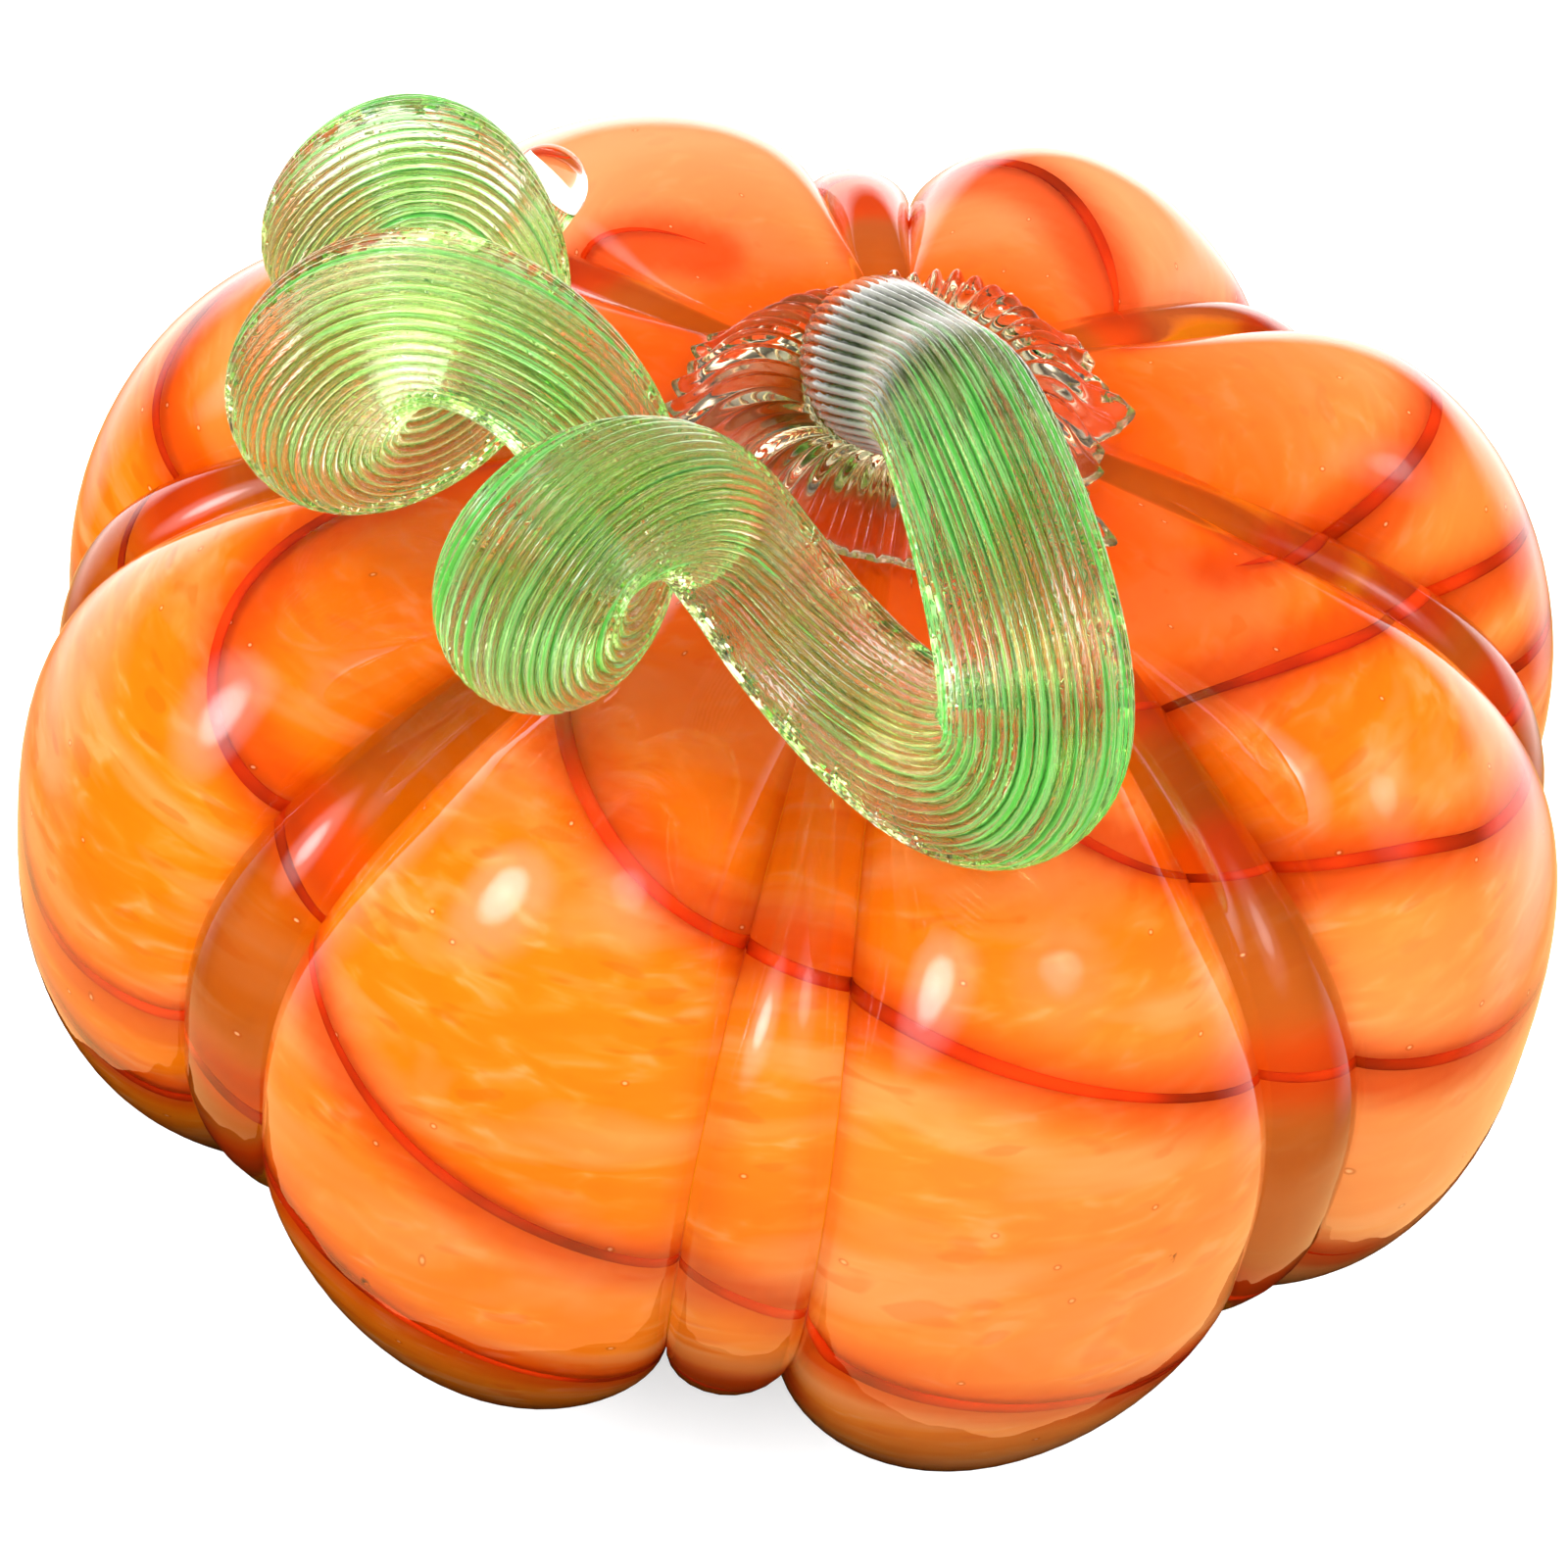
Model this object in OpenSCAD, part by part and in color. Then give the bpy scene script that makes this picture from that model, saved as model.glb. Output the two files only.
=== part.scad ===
// A blown glass pumpkin: a hollow lobed body in two fused layers, red glass threads swirled round it,
// a ribbed stem drawn out and curled over the top, and the bit of glass that closes the underside.
// The object stands on z = 0, in the middle of its own footprint, with the lobes seen as its front at -Y.

/* [Body] */
// Width of the body across its side lobes
body_width = 160; // [145:1:190]
// Depth of the body from front to back, as a share of its width
depth_share = 0.94; // [0.9:0.01:1]
// Height of the shoulder above the widest line, as a share of half the width
shoulder_share = 0.63; // [0.56:0.01:0.66]
// Height of the widest line above the ground, as a share of half the width
belly_share = 0.6; // [0.5:0.01:0.62]
// Depth of the hollow that the stem stands in
dimple_depth = 18; // [16:0.5:19]
// Angle taken up by each narrow rib, the rest being lobe
rib_angle = 10; // [7:0.5:12]
// How far the body is turned round its own axis
body_turn = 3; // [0:0.5:6]

/* [Glass layers] */
// Thickness of the clear outer glass
casing_wall = 3; // [2:0.5:4]
// Thickness of the orange glass under the clear glass
colour_wall = 1.2; // [1:0.1:2]
// Width of the red threads that swirl round the body
thread_width = 1.4; // [1:0.1:2]

/* [Stem] */
// Thickness of the drawn stem where it is thickest
stem_width = 17; // [15:0.5:17.5]
// Share of the stem's thickness that is the green glass inside
core_share = 0.5; // [0.4:0.05:0.6]
// Number of points round the foot of the stem
foot_points = 28; // [20:1:32]

/* [Underside] */
// Width of the bit of glass that closes the underside
bit_width = 32; // [24:1:34]
// Thickness of that bit
bit_height = 6; // [4:0.5:8]

/* [Hidden] */

// Fused faces are drawn this far apart, so that the solids stay separate
fuse_gap = 0.06;
half_width = body_width / 2;
belly_height = belly_share * half_width;
shoulder_height = shoulder_share * half_width;
// The lobes bulge round a ring of this radius, inside which the top dips and the underside is closed
ring_radius = 0.245 * half_width;
// The lower half is a little deeper than the belly is high, so the lobes are ground flat where they stand
lower_height = 1.045 * belly_height;
// Groove depth as a share of the lobe: at the widest line, and how it changes up and down from there
groove_belly = 0.12;
groove_tilt = -0.115;
groove_poles = 0.3;
// How boxy the meridian is above and below the widest line, where 1 is an ellipse
upper_power = 0.7;
lower_power = 1.02;
// How far the narrow ribs rise out of their grooves, as a share of the groove
rib_rise = 0.4;
// The stem's hollow sits off the middle, and the lobes lean towards it
hollow_shift = [0.073 * half_width, 0.28 * half_width];
hollow_power = 1.5;
// No two hand-blown lobes are alike: how much each one swells outwards and stands taller, in percent
lobe_swell = [1, 1.5, 4, -2, 8, 1, 0, -2];
lobe_lift = [-1, 1, 8, 7, -6, -2, -8, 3];
lobe_count = len(lobe_swell);
lobe_pitch = 360 / lobe_count;
lobe_angle = lobe_pitch - rib_angle;
// Facets round each lobe and rib, and rings up the body
lobe_facets = 8;
rib_facets = 3;
lower_rings = 8;
upper_rings = 9;
hollow_rings = 4;

// ---- Body surface -------------------------------------------------------------------------------

function clamp01(v) = min(1, max(0, v));
function lobe_mean(list, k) = (list[k % lobe_count] + list[(k + lobe_count - 1) % lobe_count]) / 2;
// A lobe keeps its own swell in the middle and shares its neighbour's at the grooves
function lobe_blend(list, k, u) =
    let (own = list[k % lobe_count], side = lobe_mean(list, u < 0 ? k : k + 1))
    own + (side - own) * u * u;

// Round the body: [angle from the front, share of the groove that is filled, swell, lift].
// Rib k is followed by lobe k.
function rib_at(k, f) =
    let (u = -cos(180 * f))
    [body_turn + k * lobe_pitch + u * rib_angle / 2, rib_rise * sin(180 * f),
     1 + lobe_mean(lobe_swell, k) / 100, 1 + lobe_mean(lobe_lift, k) / 100];
function lobe_at(k, f) =
    let (u = -cos(180 * f))
    [body_turn + (k + 0.5) * lobe_pitch + u * lobe_angle / 2, sin(180 * f),
     1 + lobe_blend(lobe_swell, k, u) / 100, 1 + lobe_blend(lobe_lift, k, u) / 100];
// The same four values at any angle, for the pieces that lie on the body
function round_at(angle) =
    let (a = ((angle - body_turn + rib_angle / 2) % 360 + 360) % 360,
         k = floor(a / lobe_pitch),
         b = a - k * lobe_pitch)
    b < rib_angle ? rib_at(k, acos(1 - 2 * b / rib_angle) / 180)
                  : lobe_at(k, acos(1 - 2 * (b - rib_angle) / lobe_angle) / 180);
around = [for (k = [0 : lobe_count - 1])
              each concat([for (i = [0 : rib_facets - 1]) rib_at(k, i / rib_facets)],
                          [for (i = [0 : lobe_facets - 1]) lobe_at(k, i / lobe_facets)])];

// The grooves die out towards the flat underside
groove_fade = 30;
function groove(lat) =
    (groove_belly + groove_tilt * sin(lat) + groove_poles * pow(sin(lat), 2))
        * clamp01((lat + 90) / groove_fade);
// Towards the stem's hollow the lobes and ribs come down to one level
rim_from = 50;
rim_fill = 0.35;
function filled(arch, lat) =
    let (q = clamp01((lat - rim_from) / (90 - rim_from)))
    arch + (rim_fill - arch) * q * q * (3 - 2 * q);
function signed_pow(v, e) = sign(v) * pow(abs(v), e);

// A meridian point as [radius, height above the widest line]. lat runs from -90 at the underside
// through 0 at the widest line to 90 at the shoulder, and on to 180 in the middle of the stem's hollow.
function shell_rz(c, lat, inset) =
    let (fill = 1 - groove(lat) * (1 - filled(c[1], lat)),
         half = half_width - ring_radius - inset,
         height = lat > 0 ? (shoulder_height - inset) * c[3] : lower_height - inset,
         power = lat > 0 ? upper_power : lower_power)
    [ring_radius + fill * half * pow(cos(lat), power) * c[2],
     max(fill * height * signed_pow(sin(lat), power), inset - belly_height)];
function hollow_rz(c, lat, inset) =
    let (t = (180 - lat) / 90)
    [ring_radius * t,
     (shoulder_height - inset) * mix_lift(c[3], t) * (1 - groove(90) * (1 - rim_fill) * t * t)
         - dimple_depth * (1 + cos(180 * t)) / 2];
function mix_lift(lift, t) = 1 + (lift - 1) * t * t;
function body_rz(c, lat, inset) = lat > 90 ? hollow_rz(c, lat, inset) : shell_rz(c, lat, inset);
// Where that point lies once the rings lean towards the stem's hollow
function body_raw(c, lat, inset) =
    let (p = body_rz(c, lat, inset),
         lean = pow(clamp01(1 - p[0] / half_width), hollow_power) * clamp01(1 + lat / 20))
    [p[0] * sin(c[0]) + hollow_shift[0] * lean,
     -p[0] * cos(c[0]) * depth_share + hollow_shift[1] * lean,
     p[1] + belly_height];
// The footprint's middle is the origin
widest = [for (c = around) body_raw(c, 0, 0)];
middle = [(max([for (p = widest) p[0]]) + min([for (p = widest) p[0]])) / 2,
          (max([for (p = widest) p[1]]) + min([for (p = widest) p[1]])) / 2, 0];
function body_point(c, lat, inset) = body_raw(c, lat, inset) - middle;

// Rings from the rim of the closed underside to the last ring of the hollow
lats = concat([for (i = [0 : lower_rings - 1]) -90 + 90 * i / lower_rings],
              [for (i = [0 : upper_rings - 1]) 90 * i / upper_rings],
              [for (i = [0 : hollow_rings - 1]) 90 + 90 * i / hollow_rings]);

// ---- Lines and solids from rings of points --------------------------------------------------------

// Smooth curve through a list of values, at a position counted in list steps
function along(list, at) =
    let (last = len(list) - 1,
         i = min(floor(max(at, 0)), last - 1),
         u = at - i,
         a = list[max(i - 1, 0)],
         b = list[i],
         c = list[i + 1],
         d = list[min(i + 2, last)])
    (2 * b + (c - a) * u + (2 * a - 5 * b + 4 * c - d) * u * u
         + (3 * b - a - 3 * c + d) * u * u * u) / 2;

// Quads between neighbouring rings, each cut in two
function ring_faces(rings, n, flip) =
    [for (j = [0 : rings - 2], i = [0 : n - 1])
        let (a = j * n + i, b = j * n + (i + 1) % n, c = a + n, d = b + n)
        each flip ? [[a, b, d], [a, d, c]] : [[a, d, b], [a, c, d]]];
// The same, cut along the other diagonal
function crossed_faces(rings, n) =
    [for (j = [0 : rings - 2], i = [0 : n - 1])
        let (a = j * n + i, b = j * n + (i + 1) % n, c = a + n, d = b + n)
        each [[a, c, b], [b, c, d]]];
function shift_faces(faces, by) = [for (f = faces) [for (v = f) v + by]];
function fan(first, n, apex, flip) =
    [for (i = [0 : n - 1])
        let (a = first + i, b = first + (i + 1) % n)
        flip ? [a, b, apex] : [b, a, apex]];

// A closed rod through a run of rings, flat at both ends
function rod_faces(rings, n) =
    concat(ring_faces(rings, n, false),
           [[for (k = [0 : n - 1]) k]],
           [[for (k = [n - 1 : -1 : 0]) (rings - 1) * n + k]]);

// One skin of the body, at a depth below the outer surface, from the rim of the opening to the top
function skin_points(inset) =
    concat([for (c = around) [rim * sin(c[0]), -rim * cos(c[0]), inset] + body_axis],
           [for (lat = lats, c = around) body_point(c, lat, inset)],
           [pole(inset)]);
function skin_faces(flip) =
    let (n = len(around), rings = len(lats) + 1)
    concat(ring_faces(rings, n, flip), fan((rings - 1) * n, n, rings * n, flip));
// The opening where the body came off the blowpipe, in the middle of the underside
rim = bit_width / 2 + fuse_gap;
body_axis = [-middle[0], -middle[1], 0];
function pole(inset) = body_point(around[0], 180, inset);

// A layer of glass between two skins, open at the rim
module shell(outer_inset, inner_inset) {
    n = len(around);
    outer = skin_points(outer_inset);
    second = len(outer);
    polyhedron(points = concat(outer, skin_points(inner_inset)),
               faces = concat(skin_faces(false), shift_faces(skin_faces(true), second),
                              [for (i = [0 : n - 1])
                                  let (j = (i + 1) % n)
                                  each [[i, j, second + j], [i, second + j, second + i]]]));
}

// ---- Stem line ------------------------------------------------------------------------------------

// The stem's points are given for a body of this half width and height up to the shoulder, and move
// with the body when its size changes
stem_half_width = 80;
stem_shoulder = 98.4;
size = half_width / stem_half_width;
function on_body(p) =
    [p[0] * size, p[1] * size, belly_height + shoulder_height + (p[2] - stem_shoulder) * size, p[3] * size];
// Where the stem leaves its foot, above the middle of the hollow
rise_points = [[2, 13, 98.5], [2, 5, 105], [3, -3, 111]];
// The curl, one row each half turn: [x, y, z of the turn's centre, heading of its near side,
// reach along the heading, rise, stem radius]
curl = [[12, -22, 109, -65, 18, 9.5, 8.0],
        [8, -40, 111, -60, 16, 9.5, 7.7],
        [-21, -40, 111, -100, 10, 10, 7.8],
        [-21, -30, 113, -120, 8, 8, 7.8],
        [-37.5, -19, 112.5, -160, 7, 9.5, 8.0],
        [-41, -10, 110, -145, 11, 8.5, 7.7],
        [-43, 0, 112, -140, 7, 10, 7.6],
        [-43, 10, 113, -160, 10, 9.5, 6.0],
        [-43, 20, 113, -180, 12, 9, 2.8]];
curl_start = -140;
curl_end = 1240;
curl_step = 30;
// The near side of each turn is drawn thicker than its far side
turn_swing = 0.8;
stem_scale = stem_width / 17;
stem_sides = 12;

function curl_knot(turn) =
    let (row = along(curl, (turn + 90) / 180))
    [row[0] + row[4] * cos(turn) * cos(row[3]),
     row[1] + row[4] * cos(turn) * sin(row[3]),
     row[2] - row[5] * sin(turn),
     row[6] + turn_swing * cos(turn)];
stem_knots = concat([for (p = rise_points) on_body(concat(p, [curl[0][6]]))],
                    [for (turn = [curl_start : curl_step : curl_end]) on_body(curl_knot(turn))]);
rings_per_knot = 1.7;
stem_rings = floor((len(stem_knots) - 1) * rings_per_knot);
stem_line = [for (i = [0 : stem_rings]) along(stem_knots, i / stem_rings * (len(stem_knots) - 1))];
function xyz(v) = [v[0], v[1], v[2]];
function unit(v) = v / norm(v);
function line_heading(i) =
    unit(xyz(stem_line[min(i + 1, stem_rings)]) - xyz(stem_line[max(i - 1, 0)]));
// Side direction carried along the stem without twist
function carry(side, heading) = unit(side - heading * (side * heading));
function stem_sides_from(i, side) =
    i > stem_rings
        ? []
        : let (next = carry(side, line_heading(min(i + 1, stem_rings))))
          concat([side], stem_sides_from(i + 1, next));
stem_side = stem_sides_from(0, carry([1, 0, 0], line_heading(0)));
function stem_ring(i, radius, sides) =
    let (across = stem_side[i], up = cross(line_heading(i), across))
    [for (k = [0 : sides - 1])
        let (a = 360 * k / sides)
        xyz(stem_line[i]) + radius * (cos(a) * across + sin(a) * up)];
function stem_radius(i) = stem_line[i][3] * stem_scale;
function tube_points(share, gap) =
    [for (i = [0 : stem_rings]) each stem_ring(i, stem_radius(i) * share - gap, stem_sides)];

// A solid tube along the stem line, and one with a hole down it
module stem_rod(share, gap) {
    polyhedron(points = tube_points(share, gap), faces = rod_faces(stem_rings + 1, stem_sides));
}
module stem_pipe(bore_share) {
    n = stem_sides;
    hole = (stem_rings + 1) * n;
    last = stem_rings * n;
    polyhedron(points = concat(tube_points(1, 0), tube_points(bore_share, 0)),
               faces = concat(ring_faces(stem_rings + 1, n, false),
                              shift_faces(ring_faces(stem_rings + 1, n, true), hole),
                              [for (k = [0 : n - 1]) let (m = (k + 1) % n)
                                  each [[k, m, hole + m], [k, hole + m, hole + k]]],
                              [for (k = [0 : n - 1]) let (a = last + k, b = last + (k + 1) % n)
                                  each [[b, a, hole + b], [a, hole + a, hole + b]]]));
}

// ---- Sub-parts ------------------------------------------------------------------------------------

module outer_casing() {
    color("orange") shell(0, casing_wall);
}

module colour_layer() {
    color("darkorange") shell(casing_wall + fuse_gap, casing_wall + colour_wall);
}

// Each red thread leaves the edge of the stem's hollow and winds down and round the body, lying on the
// clear glass and levelling off at the belly. One row a thread, each a run of [angle, lat] stations.
threads = [[[-40, 76], [-12, 53], [13, 42], [40, 27], [67, 12], [100, 2], [140, -12]],
           [[-82, 76], [-58, 45], [-40, 31], [-22, 13], [0, 5], [20, -4], [60, -14]],
           [[-150, 76], [-106, 38], [-88, 31], [-67, 4], [-43, 2], [-20, -9], [10, -18]],
           [[18, 76], [36, 57], [60, 45], [72, 37], [95, 27], [125, 12], [165, 0]],
           [[40, 76], [60, 70], [76, 63], [93, 51], [111, 31], [135, 14], [175, 2]],
           [[80, 76], [94, 66], [114, 52], [140, 36], [170, 20], [205, 6], [240, -6]],
           [[140, 76], [175, 55], [200, 38], [225, 22], [255, 8], [290, -4], [320, -16]]];
thread_steps = 60;
thread_sides = 3;
thread_proud = 0.35;
function thread_centre(stations, i) =
    let (p = along(stations, i / thread_steps * (len(stations) - 1)))
    body_point(round_at(p[0]), p[1], -thread_width / 2 - thread_proud);
module thread(stations) {
    centres = [for (i = [0 : thread_steps]) thread_centre(stations, i)];
    rings = [for (i = [0 : thread_steps])
                let (ahead = unit(centres[min(i + 1, thread_steps)] - centres[max(i - 1, 0)]),
                     out = carry(centres[i] - [0, 0, belly_height], ahead),
                     across = cross(out, ahead))
                for (k = [0 : thread_sides - 1])
                    let (a = 360 * k / thread_sides)
                    centres[i] + thread_width / 2 * (cos(a) * across + sin(a) * out)];
    polyhedron(points = rings, faces = rod_faces(thread_steps + 1, thread_sides));
}
module red_threads() {
    color("red")
        for (stations = threads)
            thread(stations);
}

module base_bit() {
    color("lightgray")
        translate(body_axis) cylinder(d = bit_width, h = bit_height, $fn = 64);
}

// The foot spreads over the hollow in points and closes up to the stem.
// One value for each of its rings, from the edge inwards: how far its points and the dips between
// them reach, how high they stand over the hollow, and the share of that height at the front, where
// the stem leans over it. The underside follows the same rings, closer to the hollow.
point_reach = [1.01, 0.86, 0.7, 0.5];
dip_reach = [0.84, 0.73, 0.6, 0.47];
point_height = [3, 4, 4.6, 5];
dip_height = [1, 2.2, 3.2, 4.2];
front_share = [0.8, 0.7, 0.5, 0.4];
front_power = 1.2;
under_height = 0.35;
function over_hollow(angle, reach, height) =
    body_point(round_at(angle), 180 - 90 * reach, 0) + [0, 0, height];
function foot_reach(k, level) = k % 2 == 0 ? point_reach[level] : dip_reach[level];
function foot_height(k, level) =
    let (back_share = pow((1 - cos(180 * k / foot_points)) / 2, front_power),
         share = front_share[level] + (1 - front_share[level]) * back_share)
    (k % 2 == 0 ? point_height[level] : dip_height[level]) * share;
module stem_foot() {
    n = 2 * foot_points;
    last = len(point_reach) - 1;
    // The neck ends just short of the stem's first ring
    axis = line_heading(0);
    back = carry([0, -1, 0], axis);
    right = cross(axis, back);
    neck = [for (k = [0 : n - 1])
               let (a = 180 * k / foot_points)
               xyz(stem_line[0]) - axis * fuse_gap + stem_radius(0) * (cos(a) * back + sin(a) * right)];
    under = [for (level = [last : -1 : 1], k = [0 : n - 1])
                over_hollow(180 * k / foot_points, foot_reach(k, level), under_height)];
    over = [for (level = [0 : last], k = [0 : n - 1])
               over_hollow(180 * k / foot_points, foot_reach(k, level), foot_height(k, level))];
    edge = 1 + last * n;
    color("palegreen")
        polyhedron(points = concat([pole(0) + [0, 0, under_height]], under, over, neck),
                   faces = concat(fan(1, n, 0, true), shift_faces(crossed_faces(last + 1, n), 1),
                                  shift_faces(ring_faces(last + 2, n, false), edge),
                                  [[for (k = [n - 1 : -1 : 0]) edge + (last + 1) * n + k]]));
}

module stem_coil() {
    color("yellowgreen") stem_pipe(core_share + 0.02);
}

module stem_core() {
    color("green") stem_rod(core_share, 0);
}

// The stem's end is a clear button where the drawn glass was nipped off
module stem_tip() {
    heading = line_heading(stem_rings);
    r = stem_radius(stem_rings);
    color("lightgray")
        translate(xyz(stem_line[stem_rings]) + heading * fuse_gap)
            rotate([0, acos(heading[2]), atan2(heading[1], heading[0])])
                rotate_extrude($fn = 48)
                    intersection() {
                        circle(r = r, $fn = 48);
                        square([2 * r, 2 * r]);
                    }
}

outer_casing();
colour_layer();
red_threads();
base_bit();
stem_foot();
stem_coil();
stem_core();
stem_tip();
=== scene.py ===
import math
import random

import bpy
import numpy as np
from mathutils import Matrix, Vector


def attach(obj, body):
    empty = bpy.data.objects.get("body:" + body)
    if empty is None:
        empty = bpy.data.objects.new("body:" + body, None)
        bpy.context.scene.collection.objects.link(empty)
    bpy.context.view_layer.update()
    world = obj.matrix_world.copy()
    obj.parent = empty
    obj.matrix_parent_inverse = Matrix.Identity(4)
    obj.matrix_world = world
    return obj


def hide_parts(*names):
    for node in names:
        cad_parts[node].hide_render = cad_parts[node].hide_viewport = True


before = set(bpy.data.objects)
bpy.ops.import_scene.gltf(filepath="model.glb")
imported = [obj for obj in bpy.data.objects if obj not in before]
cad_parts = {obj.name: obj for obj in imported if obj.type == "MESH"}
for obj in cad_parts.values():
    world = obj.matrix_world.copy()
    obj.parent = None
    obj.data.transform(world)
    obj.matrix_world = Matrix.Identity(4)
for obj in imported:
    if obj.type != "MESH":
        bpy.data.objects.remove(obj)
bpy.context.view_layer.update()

# A blown glass pumpkin. Lengths in the shape code are millimetres, in the row's frame, and become metres
# in make_mesh. Angles round the body are in degrees from the front (-Y) towards +X. lat runs from -90 at
# the underside through 0 at the widest line to 90 at the shoulder, and on to 180 in the stem's hollow.
MM = 0.001
RNG = random.Random(31)

# ---- The body's surface, as in the CAD model -----------------------------------------------------
HALF_WIDTH = 80.0
DEPTH_SHARE = 0.94
# Height of the widest line over the table, and of the shoulder over the widest line
BELLY = 0.6 * HALF_WIDTH
SHOULDER = 0.63 * HALF_WIDTH
# The underside's curve goes a little deeper than the table, where it is cut off flat
LOWER = 1.045 * BELLY
# Radius of the stem's hollow, and its depth below the shoulder
RING = 0.245 * HALF_WIDTH
DIMPLE = 18.0
LOBES = 8
PITCH = 360 / LOBES
RIB_ANGLE = 10.0
LOBE_ANGLE = PITCH - RIB_ANGLE
# How far the body is turned round its own axis
TURN = 3.0
# Depth of the grooves as a share of the body's reach, and the degrees over which they fade in underneath
GROOVE_BELLY, GROOVE_TILT, GROOVE_POLES, GROOVE_FADE = 0.12, -0.115, 0.3, 30.0
# How boxy the meridian is, where 1 is an ellipse
UPPER_POWER, LOWER_POWER = 0.7, 1.02
# How far the narrow ribs rise out of their grooves, as a share of the groove
RIB_RISE = 0.4
RIM_FROM, RIM_FILL = 50.0, 0.35
# The stem's hollow sits off the middle, and the lobes lean towards it
SHIFT = (0.073 * HALF_WIDTH, 0.28 * HALF_WIDTH)
SHIFT_POWER, LEAN_FADE = 1.5, 20
# How much each lobe swells outwards and stands taller. These two lists are rounded results of a fit by
# another program, which is an open failure.
SWELL = np.array([1, 1.5, 4, -2, 8, 1, 0, -2]) / 100
LIFT = np.array([-1, 1, 8, 7, -6, -2, -8, 3]) / 100
CASING, COLOUR = 3.0, 1.2
# The colour layer falls off sooner than the casing towards the grooves
LAYER_POWER = 1.25


def fade(values, start, span):
    """0 at the start and 1 a span further on, held between the two. A span below 0 counts downwards."""
    return np.clip((values - start) / span, 0, 1)


def angle_from(angle, middle):
    """How far an angle lies from a middle one, from -180 to 180 degrees."""
    return (angle - middle + 180) % 360 - 180


def round_at(angle, layer=False):
    """Round the body: share of the groove that is filled, swell and lift, whether it is a rib, and the
    place across the rib or lobe from -1 to 1. The colour layer runs flat and deep under the ribs."""
    a = (angle - TURN + RIB_ANGLE / 2) % 360
    k = np.minimum((a // PITCH).astype(int), LOBES - 1)
    b = a - k * PITCH
    on_rib = b < RIB_ANGLE
    u = np.where(on_rib, 2 * b / RIB_ANGLE - 1, 2 * (b - RIB_ANGLE) / LOBE_ANGLE - 1)
    arch = np.sqrt(np.clip(1 - u * u, 0, 1))
    side = np.where(u < 0, k, k + 1)

    def blend(values):
        own = values[k]
        edge = (values[side % LOBES] + values[(side - 1) % LOBES]) / 2
        groove = (values[k] + values[(k - 1) % LOBES]) / 2
        return 1 + np.where(on_rib, groove, own + (edge - own) * u * u)

    if layer:
        arch = np.where(on_rib, 0.0, arch ** LAYER_POWER)
    return np.where(on_rib, RIB_RISE * arch, arch), blend(SWELL), blend(LIFT), on_rib, u


def filled(arch, lat):
    """Towards the stem's hollow the lobes and ribs come down to one level."""
    q = fade(lat, RIM_FROM, 90 - RIM_FROM)
    return arch + (RIM_FILL - arch) * q * q * (3 - 2 * q)


def body(angle, lat, inset=0.0, layer=False):
    """Points at a depth below the outer surface, in mm, with the footprint centred on MIDDLE."""
    angle, lat = np.broadcast_arrays(np.asarray(angle, float), np.asarray(lat, float))
    arch, swell, lift, _, _ = round_at(angle, layer)
    rad = np.radians(lat)
    s, c = np.sin(rad), np.clip(np.cos(rad), 0, 1)
    groove = (GROOVE_BELLY + GROOVE_TILT * s + GROOVE_POLES * s * s) * fade(lat, -90, GROOVE_FADE)
    fill = 1 - groove * (1 - filled(arch, lat))
    power = np.where(lat > 0, UPPER_POWER, LOWER_POWER)
    height = np.where(lat > 0, (SHOULDER - inset) * lift, LOWER - inset)
    r = RING + fill * (HALF_WIDTH - RING - inset) * c ** power * swell
    z = np.maximum(fill * height * np.sign(s) * np.abs(s) ** power, inset - BELLY)
    t = fade(lat, 180, -90)
    edge_groove = GROOVE_BELLY + GROOVE_TILT + GROOVE_POLES
    hollow_z = ((SHOULDER - inset) * (1 + (lift - 1) * t * t) * (1 - edge_groove * (1 - RIM_FILL) * t * t)
                - DIMPLE * (1 + np.cos(math.pi * t)) / 2)
    r = np.where(lat > 90, RING * t, r)
    z = np.where(lat > 90, hollow_z, z)
    lean = np.clip(1 - r / HALF_WIDTH, 0, 1) ** SHIFT_POWER * np.clip(1 + lat / LEAN_FADE, 0, 1)
    a = np.radians(angle)
    return np.stack([r * np.sin(a) + SHIFT[0] * lean, -r * np.cos(a) * DEPTH_SHARE + SHIFT[1] * lean,
                     z + BELLY], -1) - MIDDLE


# The widest line, found with no shift at first, gives the middle of the footprint
MIDDLE = np.zeros(3)
WIDEST = body(np.arange(0, 360, 0.25), 0)
MIDDLE = np.array([(WIDEST[:, 0].max() + WIDEST[:, 0].min()) / 2,
                   (WIDEST[:, 1].max() + WIDEST[:, 1].min()) / 2, 0])


# ---- Mesh helpers --------------------------------------------------------------------------------
def make_mesh(name, points, faces, attributes=None):
    """A smooth mesh object from points in mm, with float or vector attributes on its points."""
    mesh = bpy.data.meshes.new(name)
    mesh.from_pydata((np.asarray(points) * MM).tolist(), [], [list(f) for f in faces])
    mesh.update()
    mesh.polygons.foreach_set("use_smooth", [True] * len(mesh.polygons))
    for key, values in (attributes or {}).items():
        values = np.asarray(values, np.float32)
        kind = "FLOAT" if values.ndim == 1 else "FLOAT_VECTOR"
        layer = mesh.attributes.new(key, kind, "POINT")
        layer.data.foreach_set("value" if values.ndim == 1 else "vector", values.ravel())
    obj = bpy.data.objects.new(name, mesh)
    bpy.context.scene.collection.objects.link(obj)
    return obj


def grid_faces(rows, n, start=0, flip=False):
    """Faces between rings of n points each."""
    j, i = np.meshgrid(np.arange(rows - 1), np.arange(n), indexing="ij")
    a = start + j * n + i
    b = start + j * n + (i + 1) % n
    quads = np.stack([a, b, b + n, a + n], -1).reshape(-1, 4)
    return (quads[:, ::-1] if flip else quads).tolist()


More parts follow.
